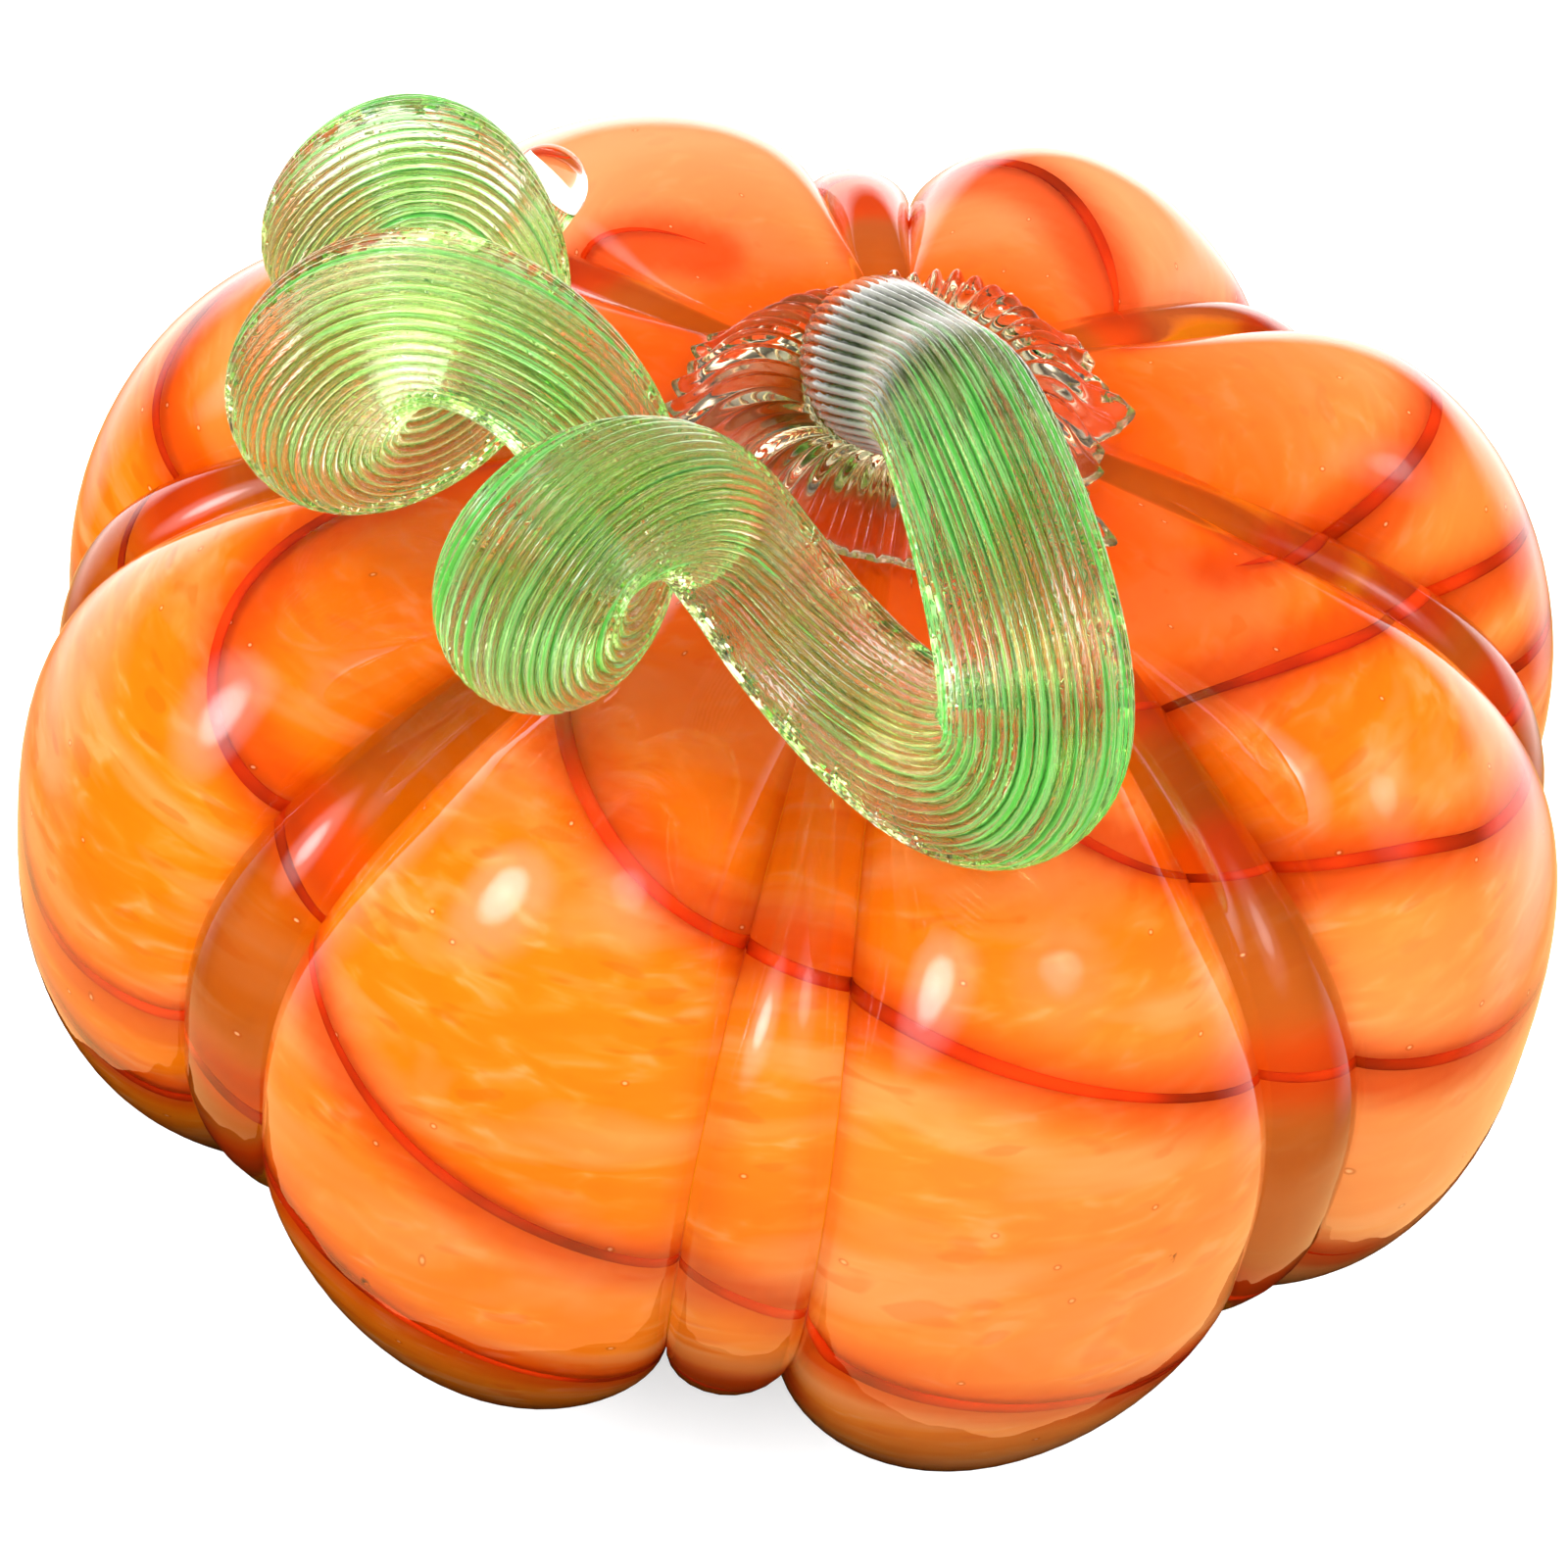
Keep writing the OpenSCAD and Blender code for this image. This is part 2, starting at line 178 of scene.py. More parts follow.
def fan_faces(first, n, apex, flip=False):
    """Faces that close a ring of n points onto one point."""
    rows = [[first + i, first + (i + 1) % n, apex] for i in range(n)]
    return [f[::-1] for f in rows] if flip else rows


# ---- Node helpers --------------------------------------------------------------------------------
class Nodes:
    """A node tree and short calls to add nodes to it."""

    def __init__(self, tree):
        self.tree = tree

    def add(self, kind, **values):
        node = self.tree.nodes.new(kind)
        for key, value in values.items():
            setattr(node, key, value)
        return node

    def link(self, a, b):
        self.tree.links.new(a, b)

    def attribute(self, name):
        return self.add("ShaderNodeAttribute", attribute_name=name)

    def noise(self, vector, scale, detail=3.0, roughness=0.5, distortion=0.0):
        node = self.add("ShaderNodeTexNoise")
        node.inputs["Scale"].default_value = scale
        node.inputs["Detail"].default_value = detail
        node.inputs["Roughness"].default_value = roughness
        node.inputs["Distortion"].default_value = distortion
        self.link(vector, node.inputs["Vector"])
        return node.outputs["Fac"]

    def stretch(self, vector, scale):
        node = self.add("ShaderNodeMapping")
        node.inputs["Scale"].default_value = scale
        self.link(vector, node.inputs["Vector"])
        return node.outputs["Vector"]

    def ramp(self, value, stops, mode="LINEAR"):
        node = self.add("ShaderNodeValToRGB")
        node.color_ramp.interpolation = mode
        items = node.color_ramp.elements
        while len(items) < len(stops):
            items.new(0.5)
        for item, (at, colour) in zip(items, stops):
            item.position = at
            item.color = (*colour, 1)
        self.link(value, node.inputs["Fac"])
        return node.outputs["Color"]

    def mix(self, factor, a, b, blend="MIX"):
        node = self.add("ShaderNodeMix", data_type="RGBA", blend_type=blend)
        for socket, value in ((node.inputs[0], factor), (node.inputs[6], a), (node.inputs[7], b)):
            if isinstance(value, (tuple, float, int)):
                socket.default_value = (*value, 1) if isinstance(value, tuple) else value
            else:
                self.link(value, socket)
        return node.outputs[2]

    def math(self, operation, a, b=0.0):
        node = self.add("ShaderNodeMath", operation=operation, use_clamp=operation in ("ADD", "SUBTRACT"))
        for socket, value in zip(node.inputs, (a, b)):
            if isinstance(value, (float, int)):
                socket.default_value = value
            else:
                self.link(value, socket)
        return node.outputs[0]


class Material(Nodes):
    """A material and short calls to set its Principled shader and volume."""

    def __init__(self, name):
        self.mat = bpy.data.materials.new(name)
        self.mat.use_nodes = True
        super().__init__(self.mat.node_tree)
        self.bsdf = self.tree.nodes["Principled BSDF"]
        self.out = self.tree.nodes["Material Output"]

    def bump(self, height, strength, distance):
        node = self.add("ShaderNodeBump")
        node.inputs["Strength"].default_value = strength
        node.inputs["Distance"].default_value = distance
        self.link(height, node.inputs["Height"])
        self.link(node.outputs["Normal"], self.bsdf.inputs["Normal"])

    def absorb(self, colour, density):
        node = self.add("ShaderNodeVolumeAbsorption")
        node.inputs["Color"].default_value = (*colour, 1)
        node.inputs["Density"].default_value = density
        self.link(node.outputs["Volume"], self.out.inputs["Volume"])

    def set(self, **values):
        for key, value in values.items():
            socket = self.bsdf.inputs[key.replace("_", " ")]
            socket.default_value = (*value, 1) if isinstance(value, tuple) else value


def grey(v):
    return (v, v, v)


# ---- Materials -----------------------------------------------------------------------------------
def casing_material():
    """Clear amber glass with a faint waviness."""
    m = Material("casing_glass")
    m.set(Base_Color=(1.0, 0.93, 0.82), Transmission_Weight=1.0, Roughness=0.0, IOR=1.5)
    m.absorb((1.0, 0.62, 0.25), 40.0)
    where = m.add("ShaderNodeTexCoord").outputs["Object"]
    slow = m.noise(where, 60.0, 2.0)
    fine = m.noise(where, 300.0, 2.0)
    m.bump(m.math("ADD", slow, m.math("MULTIPLY", fine, 0.15)), 0.25, 0.0006)
    return m.mat


# Tints of the colour layer, as linear red, green and blue
CLOUD_PEACH, CLOUD_DEEP, BLOTCH = (1.0, 0.46, 0.16), (0.96, 0.25, 0.004), (0.88, 0.17, 0.002)
# The third colour here is a painted reflection: the upper back turns lighter and pinker, as where the glass
# mirrors the room
MILKY_PEACH, SHOULDER_RED, BACK_PAINTED_REFLECTION = (1.0, 0.56, 0.27), (0.97, 0.13, 0.004), (1.0, 0.44, 0.25)
# The second colour here is a painted highlight, bright gold along the creases beside the ribs
# The third colour here is the threads' soft red edge together with a painted shadow beneath each thread
RIB_BROWN, CREASE_HIGHLIGHT_GOLD, THREAD_RED_AND_SHADOW = (0.36, 0.080, 0.0002), (1.0, 0.48, 0.01), (0.72, 0.065, 0.001)
# The second colour here is painted shade, near-black brown on the underside of the body; the first is the
# specks' own brown
SPECK_BROWN, UNDERSIDE_PAINTED_SHADE = (0.05, 0.012, 0.003), (0.065, 0.013, 0.001)
BUBBLE_RIM, BUBBLE_MIDDLE = (0.45, 0.06, 0.003), (1.0, 0.75, 0.40)


def colour_material():
    """Streaked and clouded orange. The attributes of the mesh say where it turns to the other tints, which
    include painted shade underneath, a painted highlight along the creases, a painted reflection on the
    upper back and the threads' red edge with a painted shadow below each thread.
    """
    m = Material("orange_glass")
    flow = m.attribute("flow").outputs["Vector"]
    place = m.attribute("place").outputs["Vector"]
    streak = m.noise(m.stretch(flow, (11.0, 11.0, 13.0)), 1.0, 2.0, 0.5, 0.5)
    cloud = m.noise(m.stretch(flow, (2.2, 2.2, 3.5)), 1.0, 3.0, 0.5, 0.6)
    spots = m.noise(m.stretch(flow, (11.0, 11.0, 15.0)), 1.0, 1.0, 0.4, 0.2)
    base = m.ramp(streak, [(0.34, (0.96, 0.26, 0.003)), (0.50, (0.98, 0.28, 0.006)),
                           (0.60, (1.0, 0.33, 0.025)), (0.72, (1.0, 0.44, 0.13))])
    soft = m.ramp(cloud, [(0.48, grey(0.0)), (0.66, grey(0.75))])
    base = m.mix(soft, base, CLOUD_PEACH)
    deep = m.ramp(cloud, [(0.32, grey(0.6)), (0.46, grey(0.0))])
    base = m.mix(deep, base, CLOUD_DEEP)
    blotch = m.ramp(spots, [(0.64, grey(0.0)), (0.70, grey(0.45))])
    base = m.mix(blotch, base, BLOTCH)
    split = m.add("ShaderNodeSeparateXYZ")
    m.link(place, split.inputs[0])
    redness, rib, thread = split.outputs
    base = m.mix(m.attribute("milky").outputs["Fac"], base, MILKY_PEACH)
    base = m.mix(redness, base, SHOULDER_RED)
    # Painted reflection: a lighter, pinker band on the upper back of the body
    base = m.mix(m.attribute("back").outputs["Fac"], base, BACK_PAINTED_REFLECTION)
    base = m.mix(rib, base, RIB_BROWN)
    # Painted highlight: bright gold lines along the creases at the sides of the ribs
    base = m.mix(m.attribute("crease_highlight").outputs["Fac"], base, CREASE_HIGHLIGHT_GOLD)
    # The thread's soft red edge, partly a painted shadow below it on the orange glass
    base = m.mix(m.math("MULTIPLY", thread, 0.8), base, THREAD_RED_AND_SHADOW)
    for speck in ("speck_a", "speck_b"):
        near = m.attribute(speck).outputs["Fac"]
        grain = m.noise(flow, 90.0, 2.0)
        spot = m.math("ADD", near, m.math("MULTIPLY", m.math("SUBTRACT", grain, 0.5), 1.5))
        base = m.mix(m.ramp(spot, [(0.30, grey(0.9)), (0.42, grey(0.0))]), base, SPECK_BROWN)
    cells = m.add("ShaderNodeTexVoronoi", voronoi_dimensions="2D")
    cells.inputs["Scale"].default_value = 1.0
    m.link(m.attribute("sheet").outputs["Vector"], cells.inputs["Vector"])
    ring = m.ramp(cells.outputs["Distance"], [(0.010, grey(0.0)), (0.020, grey(1.0)), (0.030, grey(0.0))])
    base = m.mix(m.math("MULTIPLY", ring, 0.5), base, BUBBLE_RIM)
    middle = m.ramp(cells.outputs["Distance"], [(0.008, grey(0.6)), (0.014, grey(0.0))])
    base = m.mix(middle, base, BUBBLE_MIDDLE)
    # Painted shade: the colour layer turns near-black brown towards the underside
    base = m.mix(m.attribute("underside_shade").outputs["Fac"], base, UNDERSIDE_PAINTED_SHADE)
    m.link(base, m.bsdf.inputs["Base Color"])
    m.set(Roughness=0.5, IOR=1.3, Specular_IOR_Level=0.0)
    return m.mat


def thread_material():
    """Red glass, darker in some places than in others."""
    m = Material("red_glass")
    where = m.add("ShaderNodeTexCoord").outputs["Object"]
    tone = m.noise(where, 70.0, 2.0)
    m.link(m.ramp(tone, [(0.35, (0.28, 0.02, 0.001)), (0.5, (0.60, 0.035, 0.002)),
                       (0.65, (0.85, 0.06, 0.004))]), m.bsdf.inputs["Base Color"])
    m.set(Roughness=0.4, IOR=1.3, Specular_IOR_Level=0.0)
    return m.mat


def stem_material():
    """Clear fluted glass with fine lines of green along the flutes, painted highlight in white on the crests
    and painted shade in the grooves. At the root the crests carry a painted grey reflection and the grooves
    near-black painted shade.
    """
    m = Material("stem_glass")
    split = m.add("ShaderNodeSeparateXYZ")
    flute = m.attribute("flute").outputs["Vector"]
    m.link(flute, split.inputs[0])
    groove, _, root = split.outputs
    lines = m.noise(m.stretch(flute, (0.0, 2.9, 0.0)), 1.0, 2.0, 0.6)
    runs = m.noise(m.stretch(m.attribute("flow").outputs["Vector"], (2.0, 2.0, 5.0)), 1.0, 2.0, 0.5)
    tone = m.math("ADD", m.math("MULTIPLY", lines, 0.6), m.math("MULTIPLY", runs, 0.4))
    tone = m.math("SUBTRACT", tone, m.math("MULTIPLY", m.attribute("green").outputs["Fac"], 0.08))
    pale = m.ramp(tone, [(0.35, (0.08, 0.42, 0.06)), (0.43, (0.52, 0.86, 0.40)), (0.49, (1.0, 0.95, 0.88)),
                         (0.56, (1.0, 0.92, 0.84)), (0.62, (0.60, 0.50, 0.27))])
    dark = m.ramp(tone, [(0.36, (0.004, 0.08, 0.006)), (0.44, (0.07, 0.22, 0.015)),
                         (0.52, (0.45, 0.52, 0.12)), (0.62, (0.88, 0.82, 0.55))])
    # Painted highlight and shade: the crests take the pale tints, white among them, and the grooves the dark
    # ones; the greens are the stem's own
    depth = m.ramp(groove, [(0.30, grey(0.0)), (0.85, grey(1.0))])
    base = m.mix(depth, pale, dark)
    # Painted reflection and shade at the stem's root: grey on the crests for a mirrored grey ceiling, near
    # black in the grooves
    root_reflection_and_shade = m.mix(m.ramp(groove, [(0.15, grey(0.0)), (0.50, grey(1.0))]),
                  (0.17, 0.17, 0.15), (0.006, 0.012, 0.002))
    m.link(m.mix(root, base, root_reflection_and_shade), m.bsdf.inputs["Base Color"])
    clear = m.ramp(tone, [(0.36, grey(0.55)), (0.43, grey(0.98)), (0.58, grey(0.99)), (0.63, grey(0.80))])
    m.link(m.mix(m.math("MULTIPLY", root, 0.8), clear, grey(0.15)), m.bsdf.inputs["Transmission Weight"])
    m.set(Roughness=0.0, IOR=1.5)
    m.absorb((0.90, 0.98, 0.62), 4.0)
    return m.mat


def core_material():
    """The green core: nearly the same glass, so it shows as colour only."""
    m = Material("green_glass")
    flow = m.attribute("flow").outputs["Vector"]
    streak = m.noise(m.stretch(flow, (3.0, 3.0, 6.0)), 1.0, 3.0, 0.55)
    m.link(m.ramp(streak, [(0.30, (0.05, 0.45, 0.04)), (0.42, (0.50, 0.85, 0.25)), (0.52, (0.94, 0.98, 0.74)),
                           (0.62, (1.0, 1.0, 0.98))]), m.bsdf.inputs["Base Color"])
    m.set(Transmission_Weight=1.0, Roughness=0.0, IOR=1.02)
    return m.mat


def clear_material(name, tint, roughness=0.0, ior=1.5):
    """Clear glass with a slightly uneven tint."""
    m = Material(name)
    where = m.add("ShaderNodeTexCoord").outputs["Object"]
    tone = m.noise(where, 120.0, 2.0)
    pale = tuple(min(1.0, v * 1.06) for v in tint)
    m.link(m.ramp(tone, [(0.35, tint), (0.65, pale)]), m.bsdf.inputs["Base Color"])
    m.set(Transmission_Weight=1.0, Roughness=roughness, IOR=ior)
    return m.mat


# ---- Body pieces ---------------------------------------------------------------------------------
LOBE_FACETS, RIB_FACETS = 34, 12
LOWER_RINGS, UPPER_RINGS, HOLLOW_RINGS = 40, 46, 22
# Radius of the opening underneath, just clear of the bit of glass in it
BIT_RADIUS = 16.06
# The casing's inner skin lies this much deeper than the colour layer's outer one, so that the two overlap
LAYER_OVERLAP = 0.5


def around_angles():
    """Angles of the points round the body, closer together at the edges of the lobes and ribs."""
    rib = TURN - RIB_ANGLE / 2 + RIB_ANGLE * (1 - np.cos(np.pi * np.arange(RIB_FACETS) / RIB_FACETS)) / 2
    lobe = TURN + RIB_ANGLE / 2 + LOBE_ANGLE * (1 - np.cos(np.pi * np.arange(LOBE_FACETS) / LOBE_FACETS)) / 2
    one = np.concatenate([rib, lobe])
    return np.concatenate([one + k * PITCH for k in range(LOBES)])


ANGLES = around_angles()
LATS = np.concatenate([-90 + 90 * np.arange(LOWER_RINGS) / LOWER_RINGS,
                       90 * np.arange(UPPER_RINGS) / UPPER_RINGS,
                       90 + 90 * np.arange(HOLLOW_RINGS) / HOLLOW_RINGS])


def skin(inset, layer):
    """Points of one skin: the rim of the opening underneath, the rings, and the middle of the hollow."""
    a = np.radians(ANGLES)
    rim = np.stack([BIT_RADIUS * np.sin(a), -BIT_RADIUS * np.cos(a), np.full(len(a), inset)], -1) - MIDDLE
    rings = body(ANGLES[None, :], LATS[:, None], inset, layer).reshape(-1, 3)
    return np.concatenate([rim, rings, body(ANGLES[:1], 180.0, inset)])


def shell(name, outer_inset, inner_inset, layers, attributes=None):
    """A closed wall between two skins. layers says which of the two follow the colour layer."""
    n = len(ANGLES)
    rows = len(LATS) + 1
    outer, inner = skin(outer_inset, layers[0]), skin(inner_inset, layers[1])
    second = len(outer)
    faces = grid_faces(rows, n) + fan_faces((rows - 1) * n, n, rows * n)
    faces += grid_faces(rows, n, second, True)
    faces += fan_faces(second + (rows - 1) * n, n, second + rows * n, True)
    faces += [[i, second + i, second + (i + 1) % n, (i + 1) % n] for i in range(n)]
    points = np.concatenate([outer, inner])
    if attributes:
        attributes = {k: np.concatenate([v, v]) for k, v in attributes.items()}
    return make_mesh(name, points, faces, attributes=attributes)


# One row a thread, each a run of [angle, lat] stations, as in the CAD model. Another program worked out
# most of those in front, which is an open failure.
THREADS = [[[-40, 76], [-12, 53], [13, 42], [40, 27], [67, 12], [100, 2], [140, -12]],
           [[-82, 76], [-58, 45], [-40, 31], [-22, 13], [0, 5], [20, -4], [60, -14]],
           [[-150, 76], [-106, 38], [-88, 31], [-67, 4], [-43, 2], [-20, -9], [10, -18]],
           [[18, 76], [36, 57], [60, 45], [72, 37], [95, 27], [125, 12], [165, 0]],
           [[40, 76], [60, 70], [76, 63], [93, 51], [111, 31], [135, 14], [175, 2]],
           [[80, 76], [94, 66], [114, 52], [140, 36], [170, 20], [205, 6], [240, -6]],
           [[140, 76], [175, 55], [200, 38], [225, 22], [255, 8], [290, -4], [320, -16]]]
THREAD_STEPS = 260
# The red band round each thread, its soft edge and partly a painted shadow, is centred this many degrees
# of lat below the thread
THREAD_SHADOW_DROP = 0.9
# Spread of the red edge and painted shadow round a thread, depth of its middle and its radius before it
# wanders
THREAD_SHADOW_SPREAD, THREAD_DEPTH, THREAD_RADIUS = 1.9, 1.9, 0.62


def along(rows, at):
    """Smooth curve through the rows, at a position counted in rows."""
    rows = np.asarray(rows, float)
    last = len(rows) - 1
    i = int(min(math.floor(max(at, 0)), last - 1))
    u = at - i
    a, b, c, d = rows[max(i - 1, 0)], rows[i], rows[i + 1], rows[min(i + 2, last)]
    return (2 * b + (c - a) * u + (2 * a - 5 * b + 4 * c - d) * u * u + (3 * b - a - 3 * c + d) * u ** 3) / 2


def thread_path(stations):
    """Angles and lats along a thread."""
    path = np.array([along(stations, at) for at in np.linspace(0, len(stations) - 1, THREAD_STEPS)])
    return path[:, 0], path[:, 1]


BUBBLE_GAP = 17.0
# Two dark specks of melt, as angle and lat
SPECKS = {"speck_a": (-24.0, -6.0), "speck_b": (33.0, 9.0)}
SPECK_SIZE = 3.0
# The swirl of the streaks in degrees for each degree of lat, and the lat that one unit of flow spans
FLOW_SWIRL, FLOW_SPAN = 0.3, 40
# Where the tints of the colour layer lie: lat or angle they start from or centre on, span, share
RED_FROM, RED_SPAN, RED_SHARE = 35, 55, 0.92
# The next line places the painted shade that darkens the underside
UNDERSIDE_SHADE_FROM, UNDERSIDE_SHADE_SPAN, UNDERSIDE_SHADE_SHARE = -5, -32, 0.93
TINT_POWER = 1.2
# The next line places the painted reflection on the upper back
BACK_LAT, BACK_SPREAD, BACK_SHARE = 52, 32, 0.85
MILKY_ANGLE, MILKY_SPREAD, MILKY_SHARE = 62, 45, 0.45
MILKY_FROM, MILKY_SPAN = 55, -35
# The next line places the painted highlight along the creases
CREASE_WIDTH, CREASE_FROM, CREASE_SPAN = 0.45, 85, -20
FRONT_RIB_SHARE, RIB_SHARE, RIB_EDGE = 0.15, 0.8, 6
# Points compared with a thread at a time, which keeps the arrays small
BATCH = 4000


def body_attributes():
    """Tints of the colour layer at each point of a skin, in the order of skin()."""
    a = np.concatenate([ANGLES, np.tile(ANGLES, len(LATS)), ANGLES[:1]])
    lat = np.concatenate([np.full(len(ANGLES), -90.0), np.repeat(LATS, len(ANGLES)), [180.0]])
    rad = np.radians(a - FLOW_SWIRL * lat)
    flow = np.stack([np.cos(rad), np.sin(rad), lat / FLOW_SPAN], -1)
    redness = fade(lat, RED_FROM, RED_SPAN) ** TINT_POWER * RED_SHARE
    _, _, _, on_rib, u = round_at(a)
    across = (a - TURN + RIB_ANGLE / 2) % PITCH
    edge = np.minimum(np.minimum(across, np.abs(across - RIB_ANGLE)), PITCH - across)
    front_rib = np.abs(angle_from(a, TURN)) < RIB_ANGLE
    rib = np.where(on_rib, np.clip((1 - np.abs(u)) * RIB_EDGE, 0, 1), 0.0)
    rib = rib * np.where(front_rib, FRONT_RIB_SHARE, RIB_SHARE)
    # Painted highlight along each crease, fading out towards the hollow
    crease_highlight = np.exp(-(edge / CREASE_WIDTH) ** 2) * fade(lat, CREASE_FROM, CREASE_SPAN)
    thread_shadow_band = np.zeros(len(a))
    points = body(a, lat)
    for stations in THREADS:
        ta, tl = thread_path(stations)
        # The band is the thread's red edge and a painted shadow, centred a little below the thread
        line = body(ta, tl - THREAD_SHADOW_DROP, CASING)
        for i in range(0, len(points), BATCH):
            part = points[i:i + BATCH]
            gap = np.sqrt(((part[:, None, :] - line[None, :, :]) ** 2).sum(-1).min(1))
            glow = np.exp(-((gap - CASING).clip(0) / THREAD_SHADOW_SPREAD) ** 2)
            thread_shadow_band[i:i + BATCH] = np.maximum(thread_shadow_band[i:i + BATCH], glow)
    behind = fade(-np.cos(np.radians(a)), 0.1, 0.7)
    milky = np.exp(-(angle_from(a, MILKY_ANGLE) / MILKY_SPREAD) ** 2)
    # The body unrolled to about millimetres, counted in gaps between bubbles
    sheet = np.stack([angle_from(a, 0) * 1.4 / BUBBLE_GAP, lat * 1.1 / BUBBLE_GAP, 0 * a], -1)
    result = {"flow": flow, "place": np.stack([redness, rib, thread_shadow_band], -1), "crease_highlight": crease_highlight,
              "back": behind * np.clip(1 - np.abs(lat - BACK_LAT) / BACK_SPREAD, 0, 1) * BACK_SHARE,
              "milky": milky * fade(lat, MILKY_FROM, MILKY_SPAN) * MILKY_SHARE,
              "underside_shade": fade(lat, UNDERSIDE_SHADE_FROM, UNDERSIDE_SHADE_SPAN) ** TINT_POWER * UNDERSIDE_SHADE_SHARE,
              "sheet": sheet}
    for key, (sa, sl) in SPECKS.items():
        gap = np.linalg.norm(points - body(np.array([sa]), np.array([sl]), 0.0), axis=1)
        result[key] = np.clip(gap / SPECK_SIZE, 0, 2)
    return result


# ---- Stem line -----------------------------------------------------------------------------------
# Where the stem rises, then one row each half turn of the curl: x, y and z of its centre, heading, reach,
# rise and radius, as in the CAD model. Both lists come from a fit by another program and were then
# changed a little, which is an open failure.
RISE = [[2, 13, 98.5], [2, 5, 105], [3, -3, 111]]
CURL = np.array([[12, -22, 109, -65, 18, 9.5, 8.0], [8, -40, 111, -60, 16, 9.5, 7.7],
                 [-21, -40, 111, -100, 10, 10, 7.8], [-21, -30, 113, -120, 8, 8, 7.8],
                 [-37.5, -19, 112.5, -160, 7, 9.5, 8.0], [-41, -10, 110, -145, 11, 8.5, 7.7],
                 [-43, 0, 112, -140, 7, 10, 7.6], [-43, 10, 113, -160, 10, 9.5, 6.0],
                 [-43, 20, 113, -180, 12, 9, 2.8]])
CURL_START, CURL_END, CURL_STEP = -140, 1240, 30
TURN_SWING = 0.8
# The core's radius as a share of the stem's
CORE_SHARE = 0.5
STEM_RINGS = 330


def curl_knot(turn):
    """Point and radius of the stem at a turn of the curl, in degrees."""
    x, y, z, heading, reach, rise, radius = along(CURL, (turn + 90) / 180)
    t, h = math.radians(turn), math.radians(heading)
    return [x + reach * math.cos(t) * math.cos(h), y + reach * math.cos(t) * math.sin(h),
            z - rise * math.sin(t), radius + TURN_SWING * math.cos(t)]


KNOTS = ([p + [CURL[0][6]] for p in RISE]
         + [curl_knot(turn) for turn in range(CURL_START, CURL_END + 1, CURL_STEP)])
STEM = np.array([along(KNOTS, at) for at in np.linspace(0, len(KNOTS) - 1, STEM_RINGS)])


def frames(line):
    """Heading and side direction at each point of a line, carried along it without twist."""
    heading = np.gradient(line, axis=0)
    heading /= np.linalg.norm(heading, axis=1, keepdims=True)
    side = np.array([1.0, 0, 0])
    sides = []
    for h in heading:
        side = side - h * (side @ h)
        side /= np.linalg.norm(side)
        sides.append(side)
    return heading, np.array(sides)


HEADING, SIDE = frames(STEM[:, :3])
UP = np.cross(HEADING, SIDE)
LENGTH = np.concatenate([[0], np.cumsum(np.linalg.norm(np.diff(STEM[:, :3], axis=0), axis=1))])
# Where the stem's root, with its painted grey reflection on the crests and painted shade in the grooves,
# begins and ends, as length along it, and over what lengths it fades
ROOT_PAINT_START, ROOT_PAINT_END = 3, 34.0
ROOT_PAINT_IN, ROOT_PAINT_OUT = 4, 8
FLUTES = 44
FLUTE_DEPTH = 0.10
# Radians that the flutes turn round the stem for each millimetre
FLUTE_TWIST = 0.012
# Greener runs of the stem: length along it, spread, share
GREEN_RUNS = ((48.0, 11.0, 1.1), (73.0, 6.0, 1.1), (145.0, 6.0, 1.0), (182.0, 6.0, 0.5), (262.0, 6.0, 0.5))


def rod(name, sides, radius_at):
    """A closed rod along the stem line. radius_at gives the radius for arrays of ring and turn angle."""
    a = np.linspace(0, 2 * math.pi, sides, endpoint=False)
    ring, turn = np.meshgrid(np.arange(STEM_RINGS), a, indexing="ij")
    r = radius_at(ring, turn)
    points = (STEM[:, None, :3] + r[..., None] * (np.cos(turn)[..., None] * SIDE[:, None]
                                                  + np.sin(turn)[..., None] * UP[:, None])).reshape(-1, 3)
    flow = np.stack([np.cos(turn) * 2, np.sin(turn) * 2, LENGTH[ring] / 60], -1).reshape(-1, 3)
    number = (turn / (2 * math.pi) + LENGTH[ring] * FLUTE_TWIST / (2 * math.pi)) * FLUTES
    # Share of the stem's root, where the colour carries painted reflection and painted shade
    root = np.clip(np.minimum((LENGTH[ring] - ROOT_PAINT_START) / ROOT_PAINT_IN,
                              (ROOT_PAINT_END - LENGTH[ring]) / ROOT_PAINT_OUT), 0, 1)
    flute = np.stack([flute_groove(ring, turn), number % FLUTES, root], -1).reshape(-1, 3)
    n = len(points)
    points = np.concatenate([points, STEM[:1, :3], STEM[-1:, :3]])
    flow = np.concatenate([flow, flow[:1], flow[-1:]])
    flute = np.concatenate([flute, flute[:1], flute[-1:]])
    faces = grid_faces(STEM_RINGS, sides)
    faces += fan_faces(0, sides, n, True) + fan_faces((STEM_RINGS - 1) * sides, sides, n + 1)
    green = sum(np.exp(-((LENGTH - at) / spread) ** 2) * share for at, spread, share in GREEN_RUNS)
    green = np.concatenate([np.repeat(green, sides), green[:1], green[-1:]])
    return make_mesh(name, points, faces, attributes={"flow": flow, "flute": flute, "green": green})


def flute_groove(ring, turn):
    """0 on the crest of a flute and 1 in the groove beside it."""
    return (1 - np.abs(np.cos((turn + LENGTH[ring] * FLUTE_TWIST) * FLUTES / 2))) ** 1.4


def stem_radius(ring, turn):
    return STEM[ring, 3] * (1 - FLUTE_DEPTH * flute_groove(ring, turn))


def core_radius(ring, turn):
    """The core waves a little round and along the stem."""
    wave = np.sin(3 * turn + LENGTH[ring] * 0.09) * 0.03 + np.sin(LENGTH[ring] * 0.21) * 0.03
    return STEM[ring, 3] * (CORE_SHARE - 0.06 + wave)


